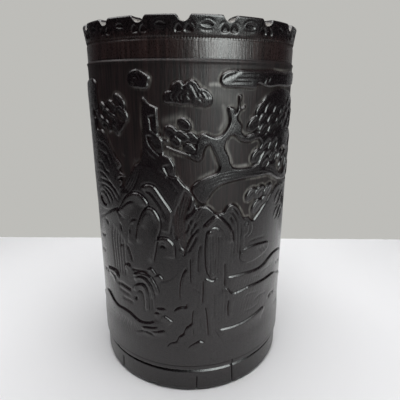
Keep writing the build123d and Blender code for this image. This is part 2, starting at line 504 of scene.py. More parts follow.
def twin_rocks(place):
    """Two tall domed rocks with a third between them, fluted by long cuts that follow their outlines."""
    place.pad(smooth([(-1, 66), (0.6, 72), (2, 77), (-0.5, 81), (2.2, 84.2), (4.6, 86.2), (7.6, 86.3),
        (9.8, 84.6), (11, 83.2), (13.6, 83.3), (15, 85.2), (16.8, 86.5), (19.2, 85.8), (21.4, 83.2),
        (22.8, 79.6), (23.4, 74), (23.4, 64), (22.6, 55.6), (15, 55), (6, 53), (0, 54)], True), 0.84,
        lean=(0, 0.01))
    place.echo([(22.4, 64), (22.4, 76), (21.2, 81.4), (18.8, 85), (16.4, 85.4)], 1.45, 0.46, reach=6.4,
        one_side=True)
    place.echo([(3.4, 80), (5.6, 84.4), (8, 84.4), (9.6, 83)], 1.3, 0.15, reach=2.4)
    middle = [(18.4, 70), (17.8, 75), (16.6, 77.4), (14.6, 80), (12.4, 82.2), (10.9, 82.7), (8.4, 80.8),
        (5.4, 77.8)]
    place.lip(middle, 0.6, reach=3.0, under=0.5)
    place.echo(middle, 1.3, 0.3, reach=4.5, one_side=True)
    hollow = [(8.6, 77), (7.4, 75), (6.9, 70), (7.1, 62), (8, 58), (9.8, 55.4)]
    place.lip(hollow, 0.3, reach=2.6, taper=1.0)
    place.groove(hollow, width=0.32, depth=0.5, taper=3.0)
    place.lip([(13.6, 73.6), (12.6, 76.4), (10.4, 77.9), (8.4, 77), (7.2, 74.6)], 0.3, reach=2.2, taper=1.0)
    place.echo([(10.3, 56.5), (10.4, 66), (10.3, 76)], 1.15, 0.42, reach=3.4)
    place.striate([(0, 56), (1, 70), (5, 74), (6.6, 58)], 0.14, spacing=1.2, seed=17)
    place.striate([(12.6, 57), (13.4, 72), (17, 72), (18, 62), (22, 57)], 0.14, spacing=1.2, seed=19)
    cuts = (
        [(3.9, 75.6), (2, 71.4), (-0.4, 67.2)], [(4.6, 78.6), (1.6, 74.6), (-0.6, 71)],
        [(5.4, 72), (4.2, 67), (4, 58)], [(2, 82.4), (0.6, 79.4), (-1, 75)],
        [(3.6, 81.4), (2.2, 78), (0.4, 74)], [(15.1, 63), (15.2, 57), (15.1, 50.6)])
    place.grooves(0.45, 0.38, cuts)
    place.lip([(12.2, 56.6), (9.9, 54.8), (6.6, 56.8)], 0.30, reach=2.4)


def rock_feet(place):
    """Ribs and roots that run down from the rocks into the bank."""
    ribs = (
        [(6.1, 56), (6.2, 50), (5.9, 44)], [(1, 66), (1.1, 60), (1.2, 53.6)],
        [(-0.4, 61.6), (-2.2, 57.4), (-3.1, 53), (-3.3, 46.4)],
        [(7, 43.8), (7.8, 39), (8.2, 34), (8.6, 28)],
        [(2.2, 42.4), (1.7, 38), (1.5, 35.2), (-0.4, 33.5), (-1.3, 32), (-1.9, 30.2), (-3.8, 28.6),
         (-5, 26.2), (-7.6, 25), (-9.6, 22.2)],
        [(7.2, 24.9), (5, 26.6), (2.4, 25.3), (0.6, 24), (-0.6, 22.2)],
        [(-0.4, 45.8), (-0.9, 43.2), (-3.2, 43), (-5.2, 41.8), (-6.2, 40)],
        [(17.2, 45.6), (17.1, 41), (17.3, 35.6)])
    place.lips(0.16, ribs, reach=2.2, under=0.4, taper=3.0)
    place.grooves(0.32, 0.45, ribs, taper=2.0)
    cuts = (
        [(1.3, 53), (3.4, 50.8), (5.8, 49)], [(4.8, 39), (5, 34.4), (7.6, 30)],
        [(1.6, 35), (2, 32), (2.4, 28.4)], [(-2.4, 40), (-2.2, 34)], [(10.6, 50), (10.8, 36)],
        [(15.2, 50), (15.6, 38)], [(3.6, 48), (3.8, 42)], [(10, 33), (13, 28), (16, 22.6)],
        [(-1.6, 28), (-1.5, 23)], [(-5, 26), (-4.9, 20)])
    place.grooves(0.4, 0.20, cuts)
    place.striate([(-3, 28), (-2.6, 56), (20, 55), (18, 47), (19, 34), (12, 30), (8, 24)], 0.16,
        spacing=1.35, seed=14)
    place.lips(0.42, (
        [(-6.3, 35.8), (-8, 37.1), (-10, 38.6)], [(-12.8, 57), (-13.9, 58.4), (-15, 60)],
        [(-9.9, 55), (-10.7, 56.1), (-11.6, 57.4)], [(6.9, 25.4), (6, 26.2), (4.6, 26.9)]), reach=3,
        taper=0.5)


def shore(place):
    """The low island, the ledges and the banks at the lower right."""
    place.pad(smooth([(22, 62), (21.7, 64.4), (23.2, 66.4), (28, 67.1), (34, 66.7), (38.4, 65.6),
        (38, 62.8), (33, 60.8), (27, 59.8), (23.6, 60.3)], True), 0.95, lean=(0, 0.03))
    place.grooves(0.4, 0.26, [[(30 + 2 * k, 65.8), (32.4 + 2 * k, 63.8), (34 + 2 * k, 62)]
        for k in range(3)])
    place.groove([(23.8, 66.2), (22, 64.8), (21.8, 63), (23, 61.2), (25.6, 60.2)], width=0.5, depth=0.4)
    place.lips(0.42, (
        [(56, 55.6), (50, 58), (44, 58.8), (39.6, 58), (35, 56), (30, 55.4), (24, 55.6), (15.6, 55.5)],
        [(58, 43), (51, 45.4), (45, 48.1), (38, 48.5), (28, 48.6), (24, 48), (19.6, 47.4), (18, 48.2),
         (15.4, 51.4)], [(39.6, 32.4), (37, 34), (32.6, 33.2), (26, 31.8), (20, 31.2), (12.2, 31)]),
        reach=4.5, under=0.25, taper=2.5)
    place.grooves(0.8, 0.45, (
        [(40.6, 36), (44.4, 37.4), (48.6, 36.2)], [(47, 51.8), (51, 51.2), (56, 49.6)],
        [(49, 28.8), (53, 28), (57, 27)]))
    place.lips(0.30, (
        [(24.4, 71.2), (26.6, 72.4), (27.6, 74.6), (27, 78), (26.6, 79.6)],
        [(22.8, 71.8), (24.8, 73), (25.6, 75.4), (25, 78.4)]), reach=2.0)
    drifts = (
        [(25, 69), (30, 69.6), (36, 69)], [(33, 53), (38, 53.4), (42, 52.8)],
        [(28, 52.4), (31, 52), (34, 51)], [(24, 44), (28, 44.6), (33, 43.6)],
        [(30, 40), (35, 41.4), (40, 40.4)], [(24, 37), (29, 36.4), (34, 37.4)])
    place.grooves(0.5, 0.12, drifts)
    place.striate([(18, 34), (18, 54), (46, 56), (50, 34)], 0.08, spacing=1.5, seed=23, along=(0.3, 1))


def falls(place):
    """Falling water at the lower left, the ledge above it, its curled foot and the domed stones by it."""
    place.lip([(-30.4, 82.6), (-33, 81.4), (-37.8, 79), (-42, 76.6), (-48, 74)], 0.48, reach=4.5)
    streams = [[(-35 + 1.7 * k, 75 - 1.2 * k), (-36.4 + 1.9 * k, 68), (-36 + 1.8 * k, 60),
        (-35.4 + 1.7 * k, 52)] for k in range(5)]
    place.grooves(0.55, 0.24, streams)
    place.grooves(0.8, 0.41, (
        [(-40.9, 76), (-39.8, 74.4), (-38.2, 72.6)], [(-50, 65), (-46, 66), (-42.6, 67.8)],
        [(-49, 47.6), (-45.6, 49.2), (-41, 49.3)],
        [(-35.6, 46.6), (-32, 47.6), (-28.4, 47.2), (-24.8, 46.3)], [(-51, 57), (-47, 58.4), (-44, 58)]))
    place.lip([(-33.7, 48.6), (-33.7, 51.2), (-35.6, 52.8), (-39.4, 52.4), (-44, 51.4)], 0.42, reach=3,
        under=0.7)
    place.lip([(-36.2, 45.6), (-36.4, 48.4), (-38.4, 50.2), (-41.2, 50.4)], 0.24, reach=2)
    place.lip([(-24.8, 57), (-26.8, 58.9), (-28.8, 57.4), (-29.4, 55)], 0.36, reach=2.4, under=0.6)
    domes = (
        [(-11.8, 47.6), (-12.8, 51.2), (-15, 55), (-17.8, 56.4), (-21.4, 56.2), (-25, 54.6)],
        [(-14.1, 44.6), (-14.7, 49), (-15.6, 51.6), (-17.8, 54), (-19.6, 54.7), (-22, 54.4), (-24.6, 52.8)],
        [(-17, 38.4), (-16.8, 43.4), (-17, 47), (-17.9, 50), (-19.5, 51.2), (-21.6, 50.9), (-23.7, 49.4),
         (-25, 46.8)])
    place.lips(0.39, domes, reach=2.0, under=0.5)
    place.grooves(0.45, 0.30, (
        [(-19.2, 38), (-19.2, 43), (-19.8, 46.6), (-21.4, 47.6), (-23.2, 45.6)],
        [(-15.9, 50), (-15.4, 44), (-15.2, 39)], [(-17.4, 47), (-17.3, 42), (-17.4, 38)]))
    place.grooves(0.8, 0.27, (
        [(-34.6, 44.8), (-30, 44.3), (-25.6, 43.7)], [(-32.4, 40.8), (-28.4, 41.1), (-24, 40.5)]))
    place.groove([(-24.4, 44.6), (-23.4, 43.6), (-22.6, 42.4)], width=0.9, depth=0.5)


def bank(place):
    """The long bank below the water, and the low swells in front of it."""
    place.lip([(-14.6, 36.2), (-15.3, 34.5), (-17.7, 33.3), (-21, 32.8), (-24.2, 33.8), (-27.4, 35.3),
        (-31.6, 35.7), (-35, 35.4), (-39.2, 36.5), (-43, 38.3), (-46, 38.4), (-50, 36.6), (-56, 33)], 0.42,
        reach=6, under=0.3, taper=2.5)
    place.lips(0.27, (
        [(-12.8, 32.8), (-15, 31.7), (-18.8, 31.1), (-21.6, 30.4)],
        [(-9.4, 31.5), (-12.3, 30.3), (-16.8, 29.6)], [(-8.8, 41.5), (-11, 41.6), (-14.2, 41.3)],
        [(-11, 39), (-13, 39.2), (-15.4, 38.2)], [(-14, 27), (-19, 28.6), (-25, 26.4)]), reach=2.6,
        under=0.7)
    strokes = [[(-37 + 2.6 * k, 26 + 0.6 * k), (-34.4 + 2.2 * k, 29), (-32 + 1.8 * k, 32.2)]
        for k in range(5)]
    place.grooves(0.4, 0.11, strokes)
    place.striate([(-42, 20), (-40, 34), (-18, 31), (-12, 20)], 0.08, spacing=1.5, seed=29, along=(-0.4, 1))


def tree(place):
    """The gnarled pine: one broad mass of trunk and limbs, with openings through to the ground."""
    place.pad(smooth([(4.4, 88), (6.6, 87.4), (9, 91), (12, 93.7), (16, 95), (22, 95.7), (30, 95.6),
        (36, 95.4), (40, 93.6), (46, 91.6), (56, 91), (62, 94.4), (61, 99), (64.6, 103), (62, 108),
        (55, 112), (46, 113), (36, 112.4), (28, 112.8), (25, 112.5), (22.6, 111.9), (20.8, 113.4),
        (20.6, 116), (19.3, 117.3), (18.8, 118.8), (19.8, 120.6), (22, 121.8), (21.6, 122.5), (19.6, 121.8),
        (20, 124), (20.3, 126), (18.8, 126), (18.8, 122.6), (17.8, 120), (17.5, 121.8), (14.7, 122),
        (15.5, 118), (14.8, 115.4), (13, 113), (10.8, 111.9), (8.4, 112.5), (6.3, 113.4), (4.3, 112.6),
        (3.4, 110.6), (3, 107.6), (1.6, 106), (-4, 107.6), (-7.4, 108.8), (-7.8, 107.8), (-3.6, 106),
        (0.4, 104.9), (3.9, 103.3), (5.6, 104.7), (6.4, 107.8), (8.2, 109.2), (9.8, 106.4), (11.4, 103.2),
        (12, 100.9), (11, 98.9), (8, 97.8), (4, 96), (1.6, 93.6), (2.4, 91)], True, steps=5), 0.9)
    place.opening(smooth([(17.8, 112.3), (15.6, 111.6), (14.2, 109), (14.3, 107.2), (15.7, 104.8),
        (16.4, 102.4), (18, 100.4), (22.8, 100), (27, 100.4), (30, 103), (29.6, 109.8), (24.4, 109.5),
        (21.4, 109.8), (19.4, 110.9)], True))
    place.opening(smooth([(40.6, 99), (42.4, 103.6), (46.6, 105.6), (50.4, 103.8), (52.8, 100), (50, 95.4),
        (44.6, 94.8)], True))
    place.echo([(5, 89), (9, 94.6), (13, 99.4), (14.4, 103), (12.8, 107), (11.6, 110), (14.6, 113.6),
        (17, 118)], 1.05, 0.05, reach=3.0)
    place.echo([(3, 92), (8, 95.6), (14, 97.6), (24, 98), (34, 97.4), (44, 92.6)], 1.1, 0.1, reach=2.8)
    place.echo([(17, 113.4), (20, 111.6), (28, 111), (40, 111.4)], 1.0, 0.12, reach=1.8)
    place.echo([(8.4, 111), (5, 110.4), (4.4, 106.6), (0, 105.6)], 0.9, 0.1, reach=1.2)
    place.echo([(16.2, 115), (16.4, 121)], 0.9, 0.1, reach=1.4)


def leaf_clusters(place):
    """The leaf pads carried by the pine."""
    foliage(place, ((-0.8, 116.4, 2.2), (-5.4, 113.4, 2.5), (1.8, 111.6, 2.1), (-1.8, 112.2, 2.1),
        (-3.9, 110.2, 1.9), (1.0, 107.8, 2.1)), 1)
    foliage(place, ((29.4, 120.8, 2.7), (34.4, 121, 2.7), (39.4, 120.2, 2.6), (44.6, 119.6, 2.6),
        (26.0, 116, 2.8), (31.2, 117.4, 2.7), (36.2, 117, 2.7), (41.4, 116.2, 2.5), (31.4, 113.8, 2.5),
        (36.6, 113.6, 2.5), (46, 115.4, 2.5), (50, 122.4, 2.4), (55.4, 121, 2.5), (49.8, 118.6, 2.6),
        (54.8, 117.4, 2.6), (59.4, 117.6, 2.5), (51, 114.4, 2.4), (57, 113.8, 2.4)), -1)
    foliage(place, ((32.6, 107.4, 2.7), (37.6, 107.2, 2.6), (28.4, 104, 2.8), (33.4, 102.8, 3.2),
        (38, 102.6, 2.4), (33, 100.8, 2.2)), -1)
    foliage(place, ((26.4, 89, 2.7), (31, 89.2, 2.8), (36.4, 89, 2.9), (29.8, 83.6, 2.9), (34, 85.4, 1.9)),
        -1)
    foliage(place, ((45, 102.2, 2.3), (49.4, 101, 2.4), (46.6, 98.2, 2.3)), -1)
    foliage(place, ((55.4, 107.4, 2.6), (60.4, 105, 2.6), (57, 103, 2.6), (62.4, 100.6, 2.5),
        (58, 98.4, 2.6), (56.4, 94.4, 2.4)), -1)
    foliage(place, ((45, 84, 2.7), (50, 83.4, 2.7), (44.6, 77.4, 2.5), (49, 76.6, 2.7), (54, 79.6, 2.7)),
        -1)


def left_foliage(place):
    """The pine's spread of leaf pads at the left."""
    place.pad(smooth([(-41, 121), (-36, 122.6), (-29, 124), (-23.4, 120.6), (-24.6, 115), (-28.4, 111.9),
        (-32.8, 113.1), (-37.2, 115), (-42, 117.4)], True), 0.4)
    foliage(place, ((-26.9, 123.4, 2.9), (-31.2, 121.3, 2.6), (-37, 120.2, 3.0), (-25.7, 119.2, 2.8),
        (-33.8, 118.6, 2.4), (-30, 116.8, 2.4), (-38.6, 115.6, 2.4), (-34.4, 114.2, 2.2),
        (-29.4, 113.5, 2.3), (-43, 118, 2.6)), 1, level=0.5, tilt=0.17)


def side_pine(place):
    """A small leaning pine with three bunches of leaf pads."""
    place.pad(smooth([(-1.6, 84), (-1.2, 92), (-3.4, 98), (-2.6, 103), (-6, 107), (-5.2, 108.2),
        (-1.6, 104.6), (0.4, 108), (0, 113), (1.4, 113), (2, 107.6), (0.6, 103), (3.6, 101.4), (7, 103),
        (7.4, 101.8), (3.8, 99.6), (0.2, 100.4), (1.4, 93), (1.6, 84)], True, steps=5), 0.9)
    place.echo([(0, 86), (-0.4, 94), (-1.6, 101), (1.2, 106)], 0.9, 0.12, reach=1.6)
    foliage(place, ((-4.4, 111.4, 2.5), (-8, 109.6, 2.6), (-6.4, 106.8, 2.4), (-10.6, 107, 2.4),
        (-1.6, 116.4, 2.6), (2.6, 116.2, 2.6), (0.6, 113.4, 2.6)), 1)
    foliage(place, ((8, 105.4, 2.5), (11.4, 104.4, 2.5), (5.4, 103.6, 2.3), (9.6, 101.8, 2.4)), -1)


def round_cloud(place):
    """A cloud of curls over a flat base, cut with arcs that follow each curl."""
    place.pad(smooth([(-8, 124.2), (-8.1, 126.2), (-7, 127.4), (-5.5, 127.6), (-5.3, 129), (-4.4, 130.2),
        (-3, 130.8), (-1.6, 130.6), (-0.6, 129.6), (0.3, 130.6), (1.6, 131.2), (3, 130.8), (4.1, 129.6),
        (4.6, 128.5), (5.9, 128.4), (7.7, 127.4), (9, 125.8), (9.2, 124), (8.4, 122.6), (6.8, 122.1),
        (3, 122.4), (1.2, 123.1), (-2, 123), (-4.6, 123.4), (-7, 123.4)], True, steps=4), 0.7,
        lean=(-0.01, 0.09))
    arcs = (
        [(-4.2, 127.2), (-4.9, 125.6), (-4.6, 124.8), (-3.8, 123.8)],
        [(-1.1, 127.2), (-2.4, 126.4), (-2.8, 125.2), (-2.2, 124)],
        [(-0.2, 126.6), (-1.4, 125.8), (-1.4, 124.4)], [(0.5, 127.6), (1.2, 126.4), (2.1, 125.6)],
        [(0.3, 126.4), (0.9, 125.4), (1.8, 124.6)], [(1.2, 129.9), (2.5, 128.3), (3.5, 126.2), (4, 125.2)],
        [(2.4, 130), (3.4, 128.6), (4.1, 127)], [(4.6, 127.4), (5, 126.2), (6, 124.8)],
        [(5.5, 127.7), (6.9, 126), (7.6, 124.8)], [(6.6, 127.4), (7.8, 126.2), (8.5, 124.8)],
        [(4.4, 125.5), (4.8, 124.8), (5.5, 124.2)], [(-0.7, 129.6), (-1.2, 128.6), (-0.6, 127.8)])
    place.grooves(0.3, 0.24, arcs, taper=0.6)


def long_cloud(place):
    """A flat bank of cloud with a rolled left end and level lines."""
    place.pad(smooth([(11.7, 131.2), (12.4, 132.8), (14.6, 134), (18, 134.3), (27, 134.3), (34, 134.5),
        (44, 134.2), (56, 134.6), (58, 130), (50, 129), (40, 129.2), (33, 128.8), (27.4, 130),
        (26.2, 128.4), (20, 128.7), (14, 128.7), (12.2, 129.5)], True), 0.78, lean=(0, 0.06))
    strokes = [[(12.9 + 1.3 * k, 130.6 + 0.5 * k), (13.8 + 1.3 * k, 131.7 + 0.5 * k),
        (15.4 + 1.4 * k, 132.7 + 0.4 * k)] for k in range(4)]
    place.grooves(0.3, 0.26, strokes, taper=0.6)
    levels = ((132.9, 19.6, 28), (131.4, 17, 29), (130.2, 15.4, 25), (132.4, 34, 46), (130.6, 35, 47))
    place.grooves(0.3, 0.2, [[(u0, z), ((u0 + u1) / 2, z + 0.1), (u1, z)] for z, u0, u1 in levels])
    place.grooves(0.45, 0.38, (
        [(29.6, 129.6), (30.4, 130.6), (31.2, 131.8)], [(31.8, 130.2), (32.6, 131.2), (33.4, 132.4)]),
        taper=0.6)


def small_cloud(place):
    """The little curled cloud at the upper left, which fades into the ground at its left."""
    place.pad(smooth([(-22.4, 130.6), (-21.4, 133.2), (-19.4, 134.2), (-17.6, 134.4), (-14.7, 133.1),
        (-13.2, 132.1), (-13, 131.2), (-13.5, 129.8), (-14, 128.1), (-17, 128.2), (-20.4, 128.7)], True,
        steps=4), 0.65, lean=(0.06, 0.02))
    arcs = (
        [(-19.4, 132.8), (-17.4, 132.8), (-16.3, 131.4), (-16.8, 130)],
        [(-20, 131.6), (-18.6, 132), (-17.6, 131.2), (-18, 130)],
        [(-20.8, 130.4), (-20, 129.6), (-18.6, 129.4)])
    place.grooves(0.35, 0.41, arcs, taper=0.8)


def plain_base(carving):
    """The uncarved lower wall, which stands at the full height of the relief and runs up into the banks."""
    u, z = np.meshgrid(carving.u_axis, carving.z_axis)
    edge = PLAIN_TOP + 4 + 2.5 * noise(u, z, 22, 400, 61)
    share = ramp((edge + 4 - z) / 8)
    plain = TOP + np.minimum(carving.height - BANK_LEVEL, 0)
    carving.height = carving.height * (1 - share) + plain * share


def front_scene(carving):
    """The landscape on the side that the viewer sees."""
    place = Place(carving)
    motifs = (hills, left_cliff, pillar, great_rock, valley, tree, leaf_clusters, left_foliage, round_cloud,
        long_cloud, small_cloud, falls, bank, twin_rocks, rock_feet, shore)
    for motif in motifs:
        motif(place)


def back_scene(carving):
    """The far side carries the same kinds of rock, tree and cloud in another order."""
    middle = GIRTH / 2
    turned = ((hills, 0, 0), (great_rock, 8, 2), (valley, 8, 2), (pillar, 14, 0), (tree, -12, 1),
        (leaf_clusters, -12, 1), (left_foliage, 2, -2), (round_cloud, -30, 0), (long_cloud, 46, 0),
        (twin_rocks, 2, 1), (rock_feet, 2, 0), (falls, 2, 0), (bank, 0, 0), (shore, -2, 0))
    for motif, du, dz in turned:
        motif(Place(carving, (middle + du, dz), flip=True))
    small_cloud(Place(carving, (middle - 46, -2)))


def ripples(place):
    """Staggered rows of low waves."""
    for row in range(5):
        for u in (60 + 3 * (row % 2), 69 + 2 * (row % 2)):
            z = 48 + 7.5 * row
            place.lip([(u + 3.6, z - 0.4), (u, z + 0.8), (u - 3.2, z - 0.2)], 0.34, reach=2.6)


def flank_scenes(carving):
    """Pillar, rock and waves at the right flank, and a pine over twin rocks at the left."""
    right = Place(carving, (61, 0), flip=True)
    for motif in (great_rock, valley, pillar):
        motif(right)
    rock_feet(Place(carving, (84, 0), flip=True))
    ripples(Place(carving))
    twin_rocks(Place(carving, (-87, 3)))
    rock_feet(Place(carving, (-84, 2)))
    side_pine(Place(carving, (-76, 2)))
    round_cloud(Place(carving, (-70, 1)))


# ---------------------------------------------------------------- rim and foot


def rim_band(carving):
    """The border under the rim: punched dots, an almond between the notches and two drops under each."""
    u, z = np.meshgrid(carving.u_axis, carving.z_axis)
    punched = 0.5 + 0.5 * np.cos(2 * pi * DOT_COUNT * u / GIRTH)
    carving.height -= DOT_DEPTH * punched * np.exp(-(((z - DOT_HEIGHT) / DOT_SIZE) ** 2))
    drop = ((0.5, 146.0), (0.7, 147.2), (1.7, 148.1), (2.7, 147.0), (2.6, 145.8))
    brow = ((0.3, 147.6), (1.6, 148.7), (3.2, 148.2), (3.9, 146.4))
    for k in range(NOTCH_COUNT):
        notch = NOTCH_START + k * NOTCH_PITCH
        for side in (-1, 1):
            carving.pit(smooth([(notch + side * x, height) for x, height in drop], True), 0.38, width=0.7)
            carving.groove([(notch + side * x, height) for x, height in brow], width=0.35, depth=0.1)
        middle = notch + NOTCH_PITCH / 2
        almond = smooth([(middle - 1.8, 147.9), (middle - 0.6, 148.8), (middle + 0.9, 148.6),
            (middle + 1.8, 147.7), (middle + 0.2, 147.3)], True)
        carving.pit(almond, 0.34, width=0.7)
        carving.groove([(middle - 3.4, 147.4), (middle - 1.8, 149.0), (middle + 0.4, 149.6),
            (middle + 3.4, 148.2)], width=0.35, depth=0.12)
        carving.groove([(middle - 3.0, 146.7), (middle, 146.3), (middle + 2.6, 146.7)], width=0.4,
            depth=0.14)


def cracks(carving):
    """Drying cracks that run up from the foot, and small chips along its edges."""
    splits = ((3.4, 9.4, 0.3), (20.3, 15.6, -0.9), (-35.2, 9, 0.4), (66, 13, 0.6), (-88, 9.6, -0.4),
        (118, 11, 0.5))
    for u, top, sway in splits:
        path = [(u, -2), (u + sway * 0.3, top * 0.4), (u + sway, top)]
        carving.groove(path, width=0.3, depth=0.6, taper=3)
    chips = ((-38, 11.3, 0.9), (-16.6, 0.6, 1.1), (24, 0.5, 0.8), (52, 11.2, 0.9), (88, 0.7, 1.2),
        (-70, 11.4, 0.7))
    for u, z, r in chips:
        carving.pit(oval(u, z, r * 1.4, r, 12), 0.5, width=0.9)


def blur(field, times):
    """Wears the edges of a field, once round in u."""
    for _ in range(times):
        field = 0.5 * field + 0.25 * (np.roll(field, 1, 1) + np.roll(field, -1, 1))
        padded = np.vstack([field[:1], field, field[-1:]])
        field = 0.5 * field + 0.25 * (padded[2:] + padded[:-2])
    return field


def dust_and_highlight_cover(carving):
    """How thickly pale dust lies on the wall in the corners that a cloth doesn't reach.

    The strokes lie where the window's light glints on the ground, so this is partly a painted highlight.
    """
    strokes = (
        ([(8.4, 129.5), (10, 129.6), (12, 129.4)], 0.6, 1.0),
        ([(13.2, 122.5), (13.9, 119.5), (13.6, 116.8), (12, 114.6)], 0.8, 0.4),
        ([(9, 126.5), (13, 125.5), (17, 124)], 2.6, 0.18),
        ([(14.9, 110.3), (14.9, 107.6), (15.9, 105), (16.9, 102.2)], 0.7, 0.55),
        ([(17.6, 101), (20, 100.7), (23.6, 100.9)], 0.6, 0.6),
        ([(20.6, 114.2), (22.4, 112.6), (25.4, 113.2)], 0.5, 0.5),
        ([(-0.4, 106.6), (0.8, 107.8), (1.6, 110)], 0.8, 0.45),
        ([(8.4, 108.6), (9.6, 105.6), (10.8, 102.4)], 0.7, 0.25),
        ([(4.6, 97), (7.4, 98.4), (10, 99.4)], 0.6, 0.35),
        ([(-7.6, 117.4), (-4, 118.6), (-1.6, 119.4)], 1.2, 0.22),
        ([(-9.6, 106.6), (-7.4, 105.4), (-5.2, 103.4)], 0.8, 0.2))
    cover = np.zeros(carving.height.shape)
    for path, width, thickness in strokes:
        curve = smooth(path)
        where, u, z = carving.patch(curve, 2.5 * width)
        far = nearest(u, z, curve)[0]
        cover[where] = np.maximum(cover[where], thickness * np.exp(-((far / width) ** 2)))
    return cover


def outer_radius():
    """The wall's outer radius over the unrolled grid, in millimetres, and the marks that its material uses.

    sunk is how deep a point lies in the carving, worn how far it stands over what surrounds it, and the last
    mark is the dust on it, which is partly a painted highlight.
    """
    carving = Carving()
    back_scene(carving)
    flank_scenes(carving)
    front_scene(carving)
    plain_base(carving)
    scene = blur(carving.height, 1)
    u, z = np.meshgrid(carving.u_axis, carving.z_axis)
    details = Carving()
    rim_band(details)
    cracks(details)
    relief = np.interp(z, *zip(*GROUND_DEPTH)) * (scene / TOP - 1)
    fibres = 0.014 * noise(u, z, 0.55, 9, 3) + 0.012 * noise(u, z, 1.3, 40, 4)
    swell = 0.10 * noise(u, z, 17, 30, 5) + 0.05 * noise(u, z, 5, 8, 6)
    neck = ramp((z - BODY_TOP) / 0.3) * ramp((LINE_HEIGHT - z) / 0.3)
    sunk = np.clip(1 - scene / TOP, 0, 1) * ramp((z - PLAIN_TOP) / 8) * (z < BODY_TOP) + 0.75 * neck
    carved = scene + details.height
    worn = carved - blur(carved, 14)
    radius = np.interp(z, *zip(*OUTLINE)) + relief + details.height
    radius = radius + fibres * (0.35 + 0.9 * sunk) + swell * 0.5 - 0.05
    return carving, radius, sunk, worn, dust_and_highlight_cover(carving)


def notch_drop(u):
    """How far the rim is cut down at u."""
    offset = (u - NOTCH_START + NOTCH_PITCH / 2) % NOTCH_PITCH - NOTCH_PITCH / 2
    below = NOTCH_DEPTH - NOTCH_RADIUS + np.sqrt(np.maximum(NOTCH_RADIUS**2 - offset**2, 0))
    return np.maximum(below, 0)


def wall_rows():
    """The wall's closed section as rows of radius, height and marks, one column per step round the pot."""
    carving, radius, sunk, worn, dust_and_highlight = outer_radius()
    drop = blur(notch_drop(carving.u_axis)[None], 2)[0]
    top = HEIGHT - drop
    z = carving.z_axis[:, None] + np.zeros(carving.columns)
    high = z > RIM_ZONE
    z = np.where(high, RIM_ZONE + (z - RIM_ZONE) * (top - RIM_ZONE) / (HEIGHT - RIM_ZONE), z)
    for column in range(carving.columns):
        for field in (radius, sunk, worn):
            field[:, column] = np.interp(z[:, column], carving.z_axis, field[:, column])
    rows = [(radius[i], z[i], sunk[i], worn[i], dust_and_highlight[i]) for i in range(1, carving.rows - 2)]
    flat = np.zeros(carving.columns)
    u = carving.u_axis
    edge = radius[-3]
    wave = 0.12 * noise(u, flat + 40, 3, 10, 71)
    rim = [(edge - inward, top - down) for inward, down in RIM_OUTER_EDGE]
    crest = edge - RIM_OUTER_EDGE[-1][0]
    rim += [(crest - (crest - RIM_INNER_RADIUS) * t, top + wave * sin(pi * t)) for t in RIM_STEPS]
    rim += [(flat + r, top - down) for r, down in RIM_INNER_EDGE]
    bare = ramp((drop - 0.4) / 0.5)
    rows += [(r, h, bare, flat, 0.42 * bare) for r, h in rim]
    for height in np.linspace(BORE_TOP, LEDGE_HEIGHT + 0.2, BORE_ROWS):
        ripple = 0.10 * noise(u, flat + height, 2.2, 30, 72) + 0.08 * noise(u, flat + height, 9, 12, 73)
        fade = min(1.0, (HEIGHT - 4 - height) / 6)
        rows.append((BORE_RADIUS + ripple * max(fade, 0), flat + height, flat + 0.5, flat, flat))
    foot = [(BORE_RADIUS, LEDGE_HEIGHT)] + [(REBATE_RADIUS, h) for h in REBATE_HEIGHTS]
    foot += [(r, 0) for r in FOOT_RADII]
    rows += [(flat + r, flat + h, flat, flat, flat) for r, h in foot]
    return carving, rows


def culm_mesh():
    """The wall as one closed mesh, with its marks kept on its points."""
    carving, rows = wall_rows()
    angle = carving.u_axis / ARC_RADIUS
    points = np.empty((len(rows), carving.columns, 3))
    for i, (radius, height, _, _, _) in enumerate(rows):
        points[i] = np.stack([radius * np.sin(angle), -radius * np.cos(angle), height], 1) * MM
    count, columns = len(rows), carving.columns
    i, j = np.meshgrid(np.arange(count), np.arange(columns), indexing="ij")
    next_i, next_j = (i + 1) % count, (j + 1) % columns
    quads = np.stack([i * columns + j, i * columns + next_j, next_i * columns + next_j,
        next_i * columns + j], -1)
    mesh = bpy.data.meshes.new("carved_culm")
    mesh.vertices.add(count * columns)
    mesh.vertices.foreach_set("co", points.astype(np.float32).ravel())
    mesh.loops.add(quads.size)
    mesh.loops.foreach_set("vertex_index", quads.astype(np.int32).ravel())
    mesh.polygons.add(count * columns)
    mesh.polygons.foreach_set("loop_start", np.arange(0, quads.size, 4, dtype=np.int32))
    mesh.polygons.foreach_set("loop_total", np.full(count * columns, 4, np.int32))
    mesh.update(calc_edges=True)
    mesh.validate()
    mesh.shade_smooth()
    for name, item in (("sunk", 2), ("worn", 3), ("dust_and_highlight", 4)):
        layer = mesh.attributes.new(name, "FLOAT", "POINT")
        layer.data.foreach_set("value", np.array([row[item] for row in rows], np.float32).ravel())
    return bpy.data.objects.new("carved_culm", mesh)


# ---------------------------------------------------------------- materials


